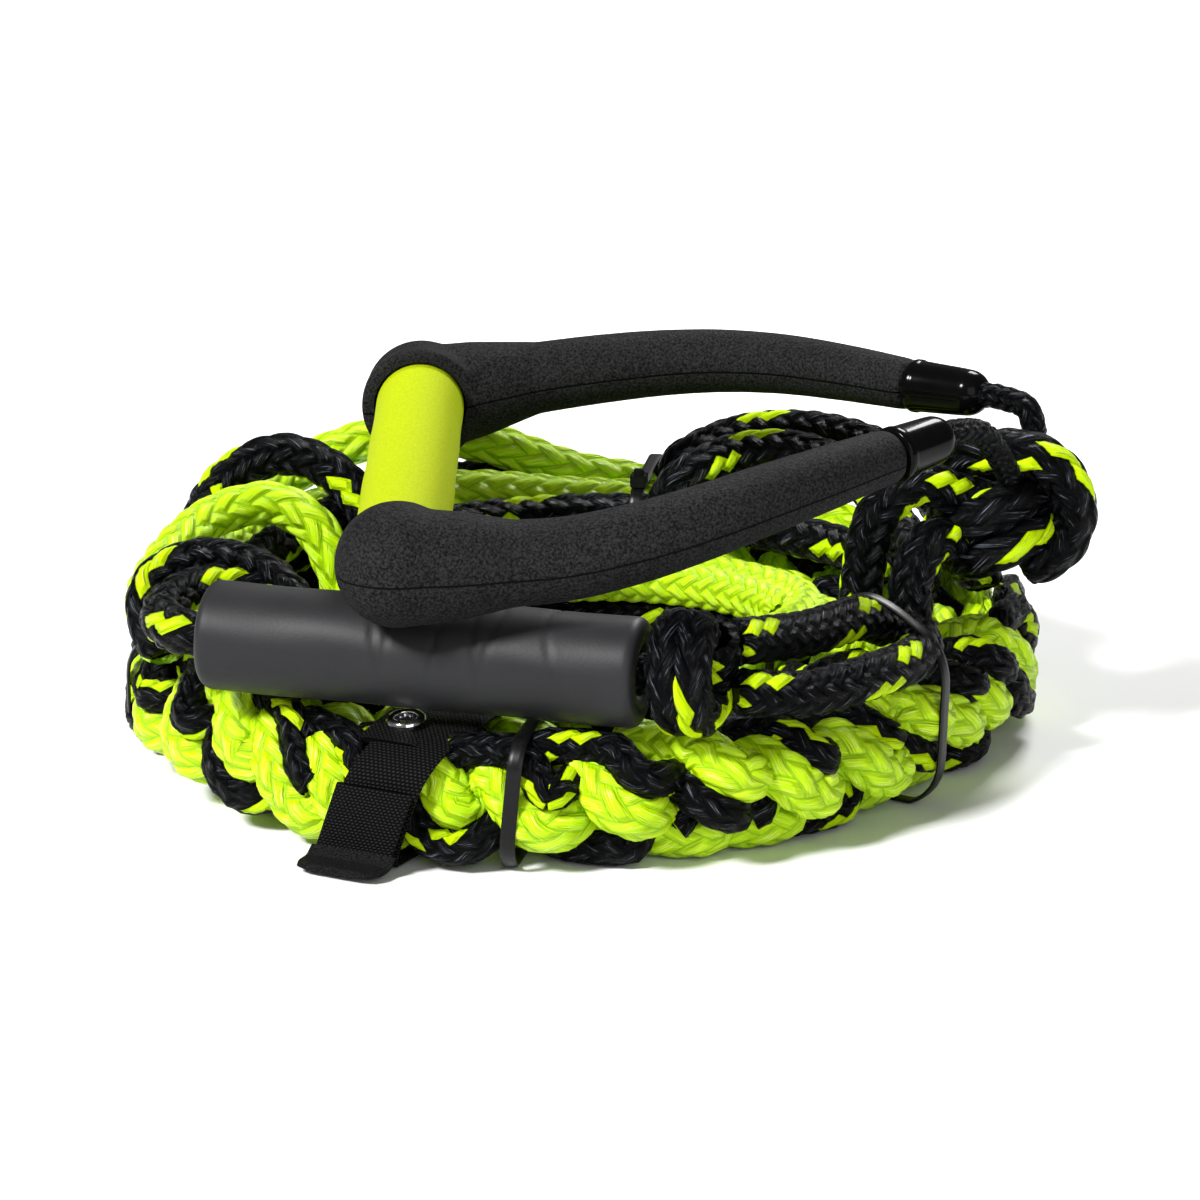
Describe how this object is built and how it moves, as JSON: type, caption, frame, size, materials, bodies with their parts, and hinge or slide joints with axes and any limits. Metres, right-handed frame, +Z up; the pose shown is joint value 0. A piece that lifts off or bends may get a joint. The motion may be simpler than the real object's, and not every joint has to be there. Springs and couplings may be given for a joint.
{
  "type": "tow rope handle",
  "caption": "Wakesurf tow rope coiled and tied, with a foam-covered handle on its bridle, a plaited rope section, a foam float and a webbing keeper strap with an eyelet.",
  "frame": {"origin": "middle of the coil, on the surface that the coil lies on", "axes": "+Z up; the crossbar lies along Y; +X points from the crossbar towards the bridle knot"},
  "size_m": [0.3156, 0.3019, 0.1224],
  "materials": {
    "grip_foam": "closed-cell EVA foam, lime, finely pebbled",
    "arm_foam": "moulded EVA foam, black, pebbled",
    "cap_gloss": "glossy black moulding",
    "tube_metal": "drawn tube",
    "hard_plastic": "moulded",
    "bridle_rope": "black hollow-braid rope with lime flecks",
    "plait_rope": "lime and black hollow-braid ropes, plaited",
    "line_rope": "hollow-braid rope, lime and black",
    "float_foam": "black closed-cell foam, satin skin",
    "tie_nylon": "moulded nylon",
    "webbing": "woven nylon webbing, black",
    "hook_loop": "hook-and-loop tape, black",
    "eyelet_metal": "polished"
  },
  "bodies": {
    "coil": {"bridle_leg_front": "bridle_rope", "bridle_leg_back": "bridle_rope", "bridle_knot": "bridle_rope", "lead_rope_inner": "bridle_rope", "lead_rope_outer": "bridle_rope", "plait_coil": "plait_rope", "line_coil": "line_rope", "top_line_green": "line_rope", "top_line_loop": "line_rope", "top_line_crest": "line_rope", "top_line_back": "line_rope", "top_line_inner": "line_rope", "hump_line_outer": "line_rope", "hump_line_inner": "line_rope", "float_lead": "line_rope", "float_line": "line_rope", "float_knot": "line_rope", "tow_leg_lower": "line_rope", "tow_leg_upper": "line_rope", "tie_front": "tie_nylon", "tie_right": "tie_nylon", "tie_back": "tie_nylon", "tie_left": "tie_nylon", "strap_band": "webbing", "strap_end": "webbing", "strap_eyelet": "eyelet_metal", "eyelet_washer": "eyelet_metal", "loop_patch": "hook_loop"},
    "handle": {"grip_sleeve": "grip_foam", "crossbar_tube": "tube_metal", "tube_plug_front": "hard_plastic", "tube_plug_back": "hard_plastic", "arm_cover_front": "arm_foam", "arm_cover_back": "arm_foam", "end_cap_front": "cap_gloss", "end_cap_back": "cap_gloss", "bridle_core_front": "bridle_rope", "bridle_core_back": "bridle_rope", "stop_knot_front": "bridle_rope", "stop_knot_back": "bridle_rope"},
    "float": {"float_tube": "float_foam"},
    "closing_tab": {"strap_tab": "webbing", "hook_patch": "hook_loop"}
  },
  "joints": [
    {"name": "handle_lift", "type": "hinge", "parent": "coil", "child": "handle", "pos_m": [0.128, 0, 0.111], "axis": [0, 1, 0], "range_deg": [0, 110], "deforming": ["bridle_leg_front", "bridle_leg_back"]},
    {"name": "float_spin", "type": "hinge", "parent": "coil", "child": "float", "pos_m": [-0.1194, -0.0897, 0.0619], "axis": [0.968, -0.2504, -0.0161], "continuous": true},
    {"name": "tab_peel", "type": "hinge", "parent": "coil", "child": "closing_tab", "pos_m": [-0.07004, -0.13173, 0.027], "axis": [0.8829, -0.4695, 0], "range_deg": [-100, 0]}
  ]
}
